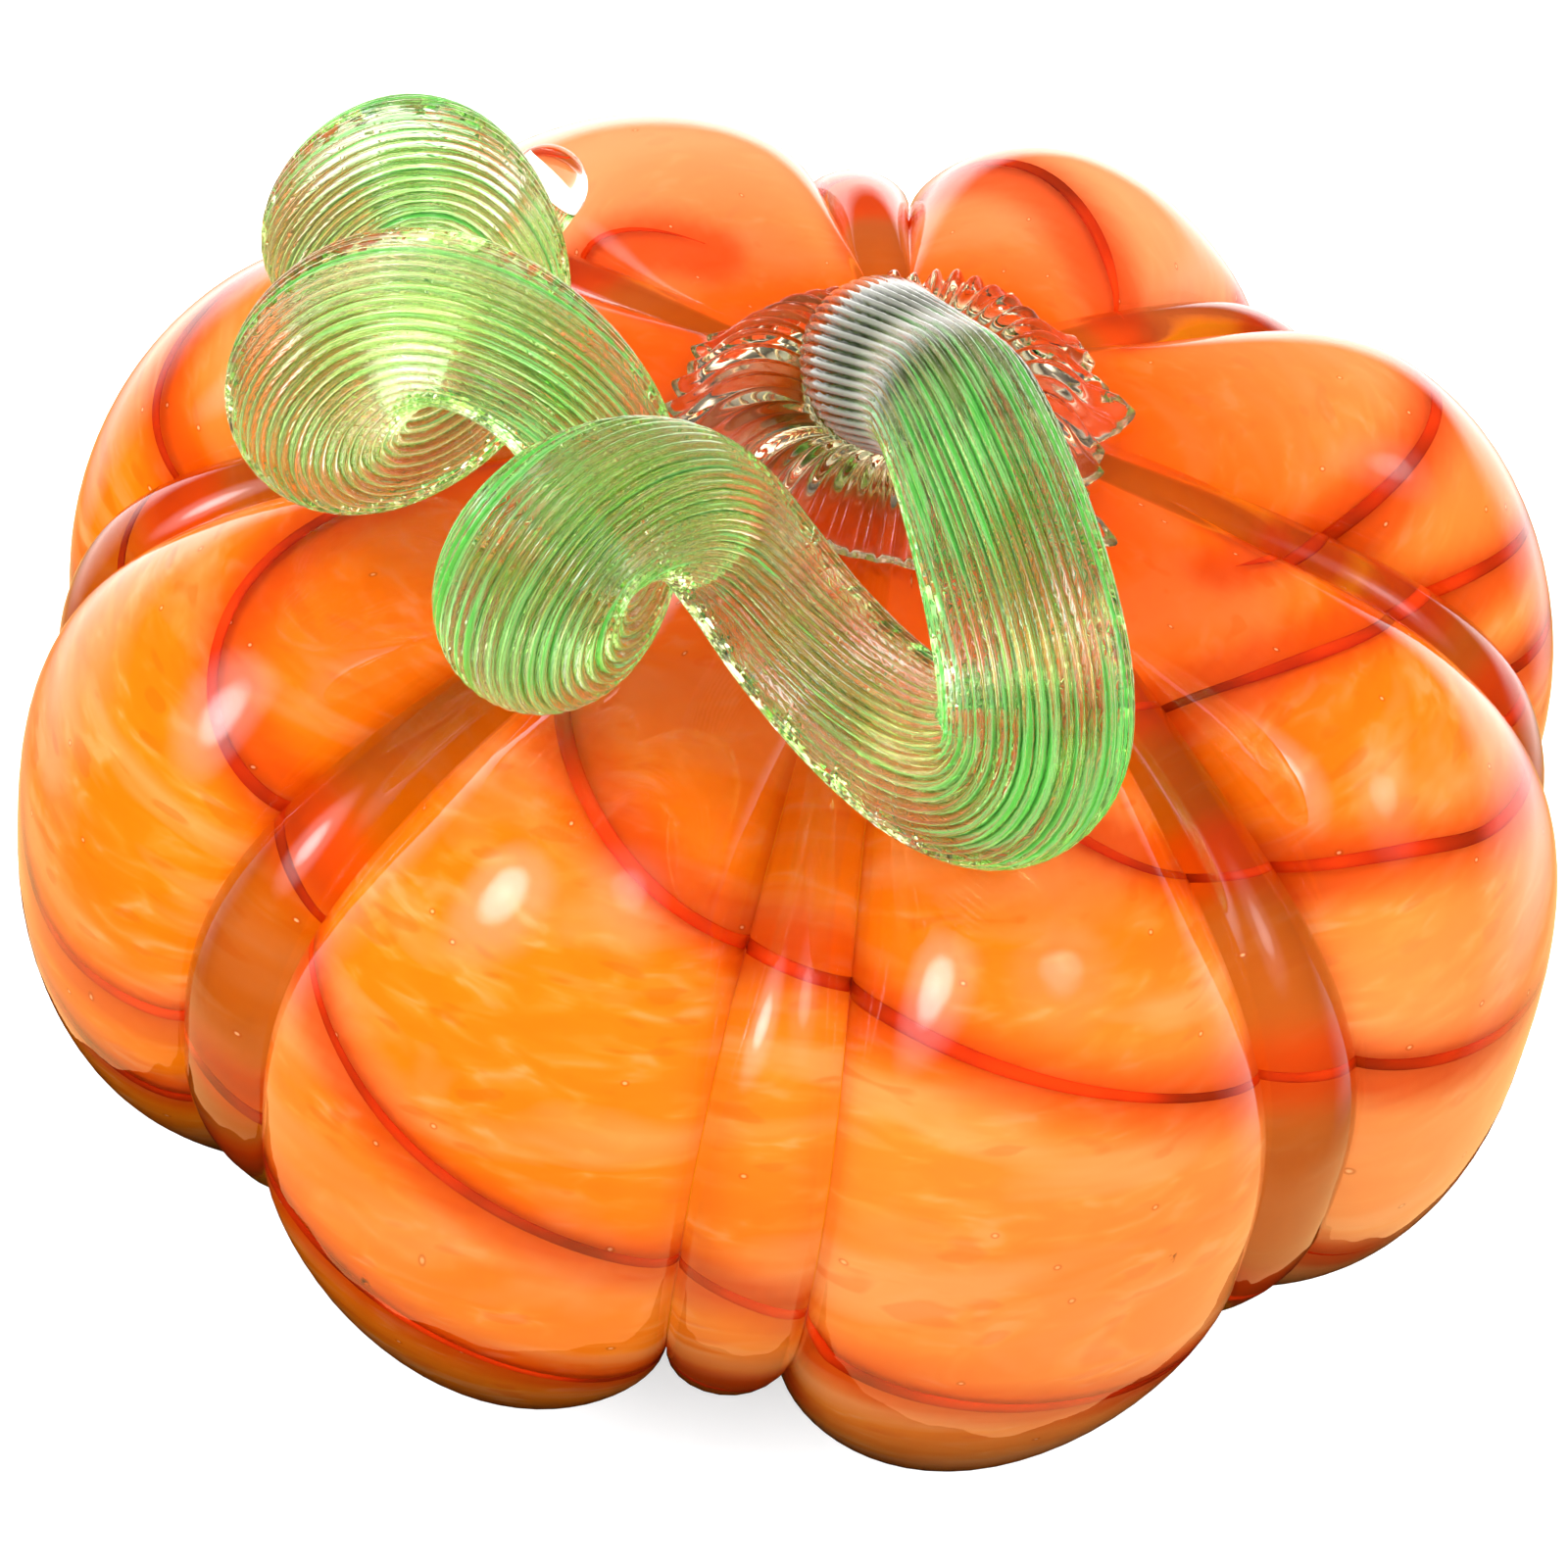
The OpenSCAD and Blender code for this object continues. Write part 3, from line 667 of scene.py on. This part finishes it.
# ---- Foot ----------------------------------------------------------------------------------------
FOOT_FLUTES = 48
FOOT_SIDES = FOOT_FLUTES * 10
# One value for each level from the edge (0) inwards to the neck (3)
CREST_REACH, DIP_REACH = [1.13, 0.90, 0.69, 0.48], [1.07, 0.88, 0.68, 0.47]
CREST_HEIGHT, DIP_HEIGHT = [1.6, 4.6, 6.4, 7.6], [0.5, 2.9, 4.7, 6.2]
FRONT_SHARE, FRONT_POWER = [0.8, 0.7, 0.5, 0.4], 1.2
LEVELS = [0, 1, 2, 3]
# Rings under the foot, over it and up its neck
UNDER_RINGS, OVER_RINGS, NECK_RINGS = 9, 13, 6
# Petals drawn out past the edge: angle, reach they add, half width in degrees, lift in mm
PETALS = ((66.0, 0.34, 4.5, 1.0), (84.0, 0.08, 5.0, 0.6), (104.0, 0.26, 7.0, 1.6), (124.0, 0.16, 7.0, 2.0),
          (150.0, 0.08, 6.0, 1.6), (178.0, 0.06, 6.0, 1.6))
# Height of the foot's underside over the body
UNDER = 0.35
# The neck stops this far short of the stem's first ring, and its flutes are this share of its radius deep
NECK_GAP, NECK_FLUTE = 0.06, 0.06


def over_hollow(angle, reach, height):
    """A point over the stem's hollow. reach is the radius as a share of the hollow's."""
    past = np.clip(RING * (reach - 1) / (HALF_WIDTH - RING), 0, 1) ** (1 / UPPER_POWER)
    lat = np.where(reach > 1, np.degrees(np.arccos(past)), 180 - 90 * reach)
    return body(angle, lat) + np.stack([0 * angle, 0 * angle, height + 0 * angle], -1)


def foot():
    """The foot of the stem: ridges that run out over the hollow, with a neck that meets the stem."""
    a = np.arange(FOOT_SIDES) * 360 / FOOT_SIDES
    wave = 0.5 + 0.5 * np.cos(np.radians(a * FOOT_FLUTES))
    which = np.round(a * FOOT_FLUTES / 360).astype(int) % FOOT_FLUTES
    own = np.array([RNG.uniform(-0.03, 0.03) for _ in range(FOOT_FLUTES)])[which]
    petal, lift = np.zeros(FOOT_SIDES), np.zeros(FOOT_SIDES)
    for angle, reach, width, up in PETALS:
        bell = np.exp(-(angle_from(a, angle) / width) ** 2)
        petal += reach * bell
        lift += up * bell
    back_share = ((1 - np.cos(np.radians(a))) / 2) ** FRONT_POWER

    def level(u):
        """Reach and height round the ring at u, from 0 at the edge to 3 next to the neck."""
        peak = wave ** 0.6
        crest, dip = np.interp(u, LEVELS, CREST_REACH), np.interp(u, LEVELS, DIP_REACH)
        reach = crest * peak + dip * (1 - peak)
        crest, dip = np.interp(u, LEVELS, CREST_HEIGHT), np.interp(u, LEVELS, DIP_HEIGHT)
        high = crest * peak + dip * (1 - peak)
        front = np.interp(u, LEVELS, FRONT_SHARE)
        outer = max(0.0, 1 - u)
        return reach + (own * peak + petal) * outer, (high * (front + (1 - front) * back_share)
                                                      + lift * outer * min(1.0, 0.3 + u * 4))

    levels = [over_hollow(a, level(u)[0], UNDER) for u in np.linspace(3, 0.25, UNDER_RINGS)]
    levels += [over_hollow(a, *level(u)) for u in np.linspace(0, 3, OVER_RINGS)]
    back = np.array([0, -1.0, 0])
    back = back - HEADING[0] * (back @ HEADING[0])
    back /= np.linalg.norm(back)
    across = np.cross(HEADING[0], back)
    rad = np.radians(a)[:, None]
    neck_axis = STEM[0, :3] - HEADING[0] * NECK_GAP
    flute = 1 - NECK_FLUTE * (1 - wave)
    neck = neck_axis + (STEM[0, 3] * flute)[:, None] * (np.cos(rad) * back + np.sin(rad) * across)
    top = levels[-1]
    for u in np.linspace(0.14, 0.86, NECK_RINGS):
        levels.append(top * (1 - u) + neck * u)
    levels.append(neck)
    points = np.concatenate([over_hollow(a[:1], 0.0, UNDER)] + levels + [neck_axis[None]])
    faces = fan_faces(1, FOOT_SIDES, 0, True) + grid_faces(len(levels), FOOT_SIDES, 1)
    faces += fan_faces(1 + (len(levels) - 1) * FOOT_SIDES, FOOT_SIDES, len(points) - 1)
    share = np.concatenate([np.linspace(0.9, 0, UNDER_RINGS) ** 2, np.linspace(0, 0.9, OVER_RINGS) ** 2,
                            np.full(NECK_RINGS + 1, 1.0)])
    tint = np.concatenate([[1.0], np.repeat(share, FOOT_SIDES), [1.0]])
    return make_mesh("foot", points, faces, attributes={"tint": tint})


def foot_material():
    """Glass tinted orange at the tips, a painted reflection of the orange body round it, and green at the
    roots.
    """
    m = Material("foot_glass")
    tint = m.attribute("tint").outputs["Fac"]
    where = m.add("ShaderNodeTexCoord").outputs["Object"]
    patch = m.noise(where, 160.0, 2.0)
    root = m.ramp(patch, [(0.40, (0.05, 0.34, 0.03)), (0.58, (0.55, 0.76, 0.32))])
    # The orange tint is a painted reflection of the body round the foot; the green at the roots is the
    # glass's own
    m.link(m.mix(tint, (1.0, 0.78, 0.56), root), m.bsdf.inputs["Base Color"])
    m.set(Transmission_Weight=1.0, Roughness=0.0, IOR=1.36)
    return m.mat


def tube(points, radius, out, sides, flat):
    """Points and faces of a closed tube. out is the direction that flat squeezes."""
    ahead = np.gradient(points, axis=0)
    ahead /= np.linalg.norm(ahead, axis=1, keepdims=True)
    out = out - ahead * (out * ahead).sum(1, keepdims=True)
    out /= np.linalg.norm(out, axis=1, keepdims=True)
    across = np.cross(out, ahead)
    a = np.linspace(0, 2 * math.pi, sides, endpoint=False)
    rings = (points[:, None] + radius[:, None, None] * (np.cos(a)[None, :, None] * across[:, None]
                                                        + flat * np.sin(a)[None, :, None] * out[:, None]))
    n = len(points)
    faces = grid_faces(n, sides) + [list(range(sides))[::-1], [(n - 1) * sides + k for k in range(sides)]]
    return rings.reshape(-1, 3), faces


def threads():
    """All the threads as one mesh of flattened tubes that lie in the casing."""
    points, faces, start = [], [], 0
    for number, stations in enumerate(THREADS):
        angle, lat = thread_path(stations)
        centre = body(angle, lat, THREAD_DEPTH)
        out = body(angle, lat, 0.0) - body(angle, lat, CASING)
        s = np.linspace(0, 1, len(centre))
        wander = 1 + 0.2 * np.sin(9 * s + number) + 0.14 * np.sin(23 * s + 2 * number)
        radius = THREAD_RADIUS * wander * np.clip(np.minimum(s, 1 - s) * 16, 0.1, 1)
        p, f = tube(centre, radius, out, sides=10, flat=0.5)
        points.append(p)
        faces += [[v + start for v in face] for face in f]
        start += len(p)
    return make_mesh("threads", np.concatenate(points), faces)


# ---- Build ---------------------------------------------------------------------------------------
def piece(obj, material, slot, *nodes):
    obj.data.materials.clear()
    obj.data.materials.append(material)
    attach(obj, "root")
    if nodes:
        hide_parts(*nodes)
    return obj


casing = shell("casing", 0.0, CASING + LAYER_OVERLAP, (False, True))
piece(casing, casing_material(), "amber_glass", "outer_casing")
colour = shell("colour", CASING, CASING + COLOUR, (True, True), body_attributes())
piece(colour, colour_material(), "orange_glass", "colour_layer")
piece(threads(), thread_material(), "red_glass", "red_threads")
on_top = [piece(rod("stem", FLUTES * 7, stem_radius), stem_material(), "stem_glass", "stem_coil"),
          piece(rod("core", 40, core_radius), core_material(), "green_glass", "stem_core"),
          piece(foot(), foot_material(), "foot_glass", "stem_foot")]
# Diffuse light passes the clear glass on top by, so that it doesn't shade the body
for obj in on_top:
    obj.visible_diffuse = False
for node, material in (("base_bit", clear_material("ground_glass", (0.9, 0.94, 0.9), 0.35)),
                       ("stem_tip", clear_material("tip_glass", (0.98, 0.86, 0.72), ior=1.18))):
    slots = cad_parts[node].data.materials
    slots.clear()
    slots.append(material)

# ---- Camera, floor and light ---------------------------------------------------------------------
ELEVATION, ROLL = math.radians(46.96), math.radians(9.667)
TARGET = Vector((-0.00032, -0.0017, 0.04725))
DISTANCE = 0.4736
LENS, SENSOR, SHIFT_X, SHIFT_Y = 104.03, 36, 0.0019, 0.0164


def camera():
    """Looks down at the target from the front, a little rolled."""
    toward = Vector((0, -math.cos(ELEVATION), math.sin(ELEVATION)))
    right = Vector((1, 0, 0))
    above = toward.cross(right)
    x = math.cos(ROLL) * right + math.sin(ROLL) * above
    y = -math.sin(ROLL) * right + math.cos(ROLL) * above
    place = TARGET + toward * DISTANCE
    data = bpy.data.cameras.new("camera")
    data.sensor_width = SENSOR
    data.lens = LENS
    data.shift_x = SHIFT_X
    data.shift_y = SHIFT_Y
    data.clip_start = 0.01
    data.clip_end = 20
    obj = bpy.data.objects.new("camera", data)
    bpy.context.scene.collection.objects.link(obj)
    obj.matrix_world = Matrix(((x.x, y.x, toward.x, place.x), (x.y, y.y, toward.y, place.y),
                               (x.z, y.z, toward.z, place.z), (0, 0, 0, 1)))
    bpy.context.scene.camera = obj


def disc(name, radii, n):
    """A flat round sheet in z = 0, with a ring of n points at each radius in mm."""
    a = np.linspace(0, 2 * math.pi, n, endpoint=False)
    rings = [np.stack([r * np.cos(a), r * np.sin(a), 0 * a], -1) for r in radii]
    faces = fan_faces(1, n, 0) + grid_faces(len(radii), n, 1, True)
    return make_mesh(name, np.concatenate([[[0, 0, 0]]] + rings), faces)


def floor():
    """A wide white floor that the glass neither mirrors nor shows through."""
    obj = disc("floor", np.geomspace(0.05, 4.0, 24) * 1000, 64)
    m = Material("floor_paint")
    where = m.add("ShaderNodeTexCoord").outputs["Object"]
    grain = m.noise(where, 400.0, 3.0)
    m.link(m.ramp(grain, [(0.3, grey(0.86)), (0.7, grey(0.89))]), m.bsdf.inputs["Base Color"])
    m.set(Roughness=0.8, Specular_IOR_Level=0.2, Emission_Color=(1.0, 1.0, 1.0), Emission_Strength=0.25)
    obj.data.materials.append(m.mat)
    obj.visible_glossy = False
    obj.visible_transmission = False


# Radius of the shaded patch of table, and its height over the floor
SHADE_RADIUS, SHADE_HEIGHT = 90.0, 0.3


def shaded_table():
    """The shaded table close under the object, seen only in and through the glass."""
    n = 240
    a = np.linspace(0, 2 * math.pi, n, endpoint=False)
    edge = SHADE_RADIUS * (1 + 0.03 * np.sin(3 * a + 1) + 0.025 * np.sin(7 * a) + 0.015 * np.sin(16 * a + 2)
                           + 0.012 * np.sin(31 * a))
    rim = np.stack([edge * np.cos(a), edge * np.sin(a), SHADE_HEIGHT + 0 * a], -1)
    obj = make_mesh("shaded_table", np.concatenate([[[0, 0, SHADE_HEIGHT]], rim]), fan_faces(1, n, 0))
    m = Material("table_shade")
    m.set(Base_Color=(0.010, 0.005, 0.002), Roughness=1.0, Specular_IOR_Level=0.0)
    obj.data.materials.append(m.mat)
    obj.visible_camera = False
    obj.visible_diffuse = False
    obj.visible_shadow = False


def softbox(name, direction, distance, width, strength):
    """A round panel that is brightest in the middle, out of the camera's sight."""
    obj = disc(name, np.linspace(0, width / 2, 17)[1:] / MM, 48)
    d = Vector(direction).normalized()
    turned = d.to_track_quat("Z", "Y").to_matrix().to_4x4()
    obj.matrix_world = Matrix.Translation(TARGET + d * distance) @ turned
    m = Material(name)
    m.tree.nodes.remove(m.bsdf)
    where = m.add("ShaderNodeTexCoord").outputs["Object"]
    length = m.add("ShaderNodeVectorMath", operation="LENGTH")
    m.link(where, length.inputs[0])
    far = m.math("DIVIDE", length.outputs["Value"], width / 2)
    stops = [(0.0, grey(1.0)), (0.2, grey(0.75)), (0.42, grey(0.18)), (1.0, grey(0.0))]
    glow = m.ramp(far, stops, "EASE")
    light = m.add("ShaderNodeEmission")
    m.link(glow, light.inputs["Color"])
    light.inputs["Strength"].default_value = strength
    both = m.add("ShaderNodeAddShader")
    m.link(light.outputs[0], both.inputs[0])
    m.link(m.add("ShaderNodeBsdfTransparent").outputs[0], both.inputs[1])
    m.link(both.outputs[0], m.out.inputs["Surface"])
    obj.data.materials.append(m.mat)
    obj.visible_camera = False
    obj.visible_shadow = False


WORLD_STRENGTH = 2.0
WORLD_WHITE = 0.7


def studio_world():
    """White for the camera. The surface of the glass mirrors a dim ceiling, a bright room round it and a
    bright table that is dark close under the object; the colour inside gets soft light from above."""
    world = bpy.data.worlds.new("studio")
    world.use_nodes = True
    m = Nodes(world.node_tree)
    toward = m.add("ShaderNodeTexCoord").outputs["Generated"]
    up = m.add("ShaderNodeSeparateXYZ")
    m.link(toward, up.inputs[0])
    level = m.math("ADD", m.math("MULTIPLY", up.outputs[2], 0.5), 0.5)
    edge = m.math("MULTIPLY", m.math("SUBTRACT", m.noise(toward, 9.0, 4.0), 0.5), 0.07)
    wavy = m.math("ADD", level, edge)
    table = m.ramp(wavy,
                   [(0.0, (0.46, 0.26, 0.10)), (0.15, (0.46, 0.26, 0.10)), (0.24, (0.08, 0.05, 0.02)),
                    (0.45, (0.06, 0.04, 0.02)), (0.80, (0.05, 0.045, 0.03)), (1.0, (0.07, 0.06, 0.05))])
    room = m.ramp(level, [(0.2, grey(0.0)), (0.30, grey(1.0)), (0.50, grey(1.0)), (0.62, grey(0.0))])
    behind = m.math("MAXIMUM", m.math("ADD", m.math("MULTIPLY", up.outputs[1], 0.95), 0.02), 0.0)
    mirror = m.mix(1.0, table, m.mix(1.0, room, behind, "MULTIPLY"), "ADD")
    through = m.ramp(level, [(0.0, grey(0.35)), (0.15, grey(0.75)), (0.45, grey(1.0)),
                             (0.56, grey(0.80)), (0.64, grey(0.10)), (0.80, grey(0.03)),
                             (0.90, grey(0.30)), (1.0, grey(0.45))])
    light = m.ramp(level, [(0.0, grey(0.02)), (0.12, grey(0.06)), (0.28, grey(0.28)), (0.42, grey(0.64)),
                           (0.6, grey(0.76)), (1.0, grey(0.82))])
    path = m.add("ShaderNodeLightPath")
    crossed = m.math("GREATER_THAN", path.outputs["Transmission Depth"], 0.5)
    inside = m.math("GREATER_THAN", path.outputs["Diffuse Depth"], 0.5)
    seen = m.mix(inside, m.mix(crossed, mirror, through), light)
    colour = m.mix(path.outputs["Is Camera Ray"], seen, grey(WORLD_WHITE))
    background = m.tree.nodes["Background"]
    m.link(colour, background.inputs["Color"])
    background.inputs["Strength"].default_value = WORLD_STRENGTH
    bpy.context.scene.world = world


camera()
floor()
softbox("soft_left", (-0.55, -0.35, 0.75), 0.9, 0.90, 11)
softbox("soft_right", (0.38, -0.25, 0.89), 0.9, 0.90, 3.5)
shaded_table()
studio_world()
scene = bpy.context.scene
scene.view_settings.view_transform = "Standard"
scene.view_settings.exposure = 0.6
scene.cycles.use_denoising = True
scene.cycles.max_bounces = 24
scene.cycles.transmission_bounces = 20
scene.cycles.glossy_bounces = 8
scene.cycles.diffuse_bounces = 4
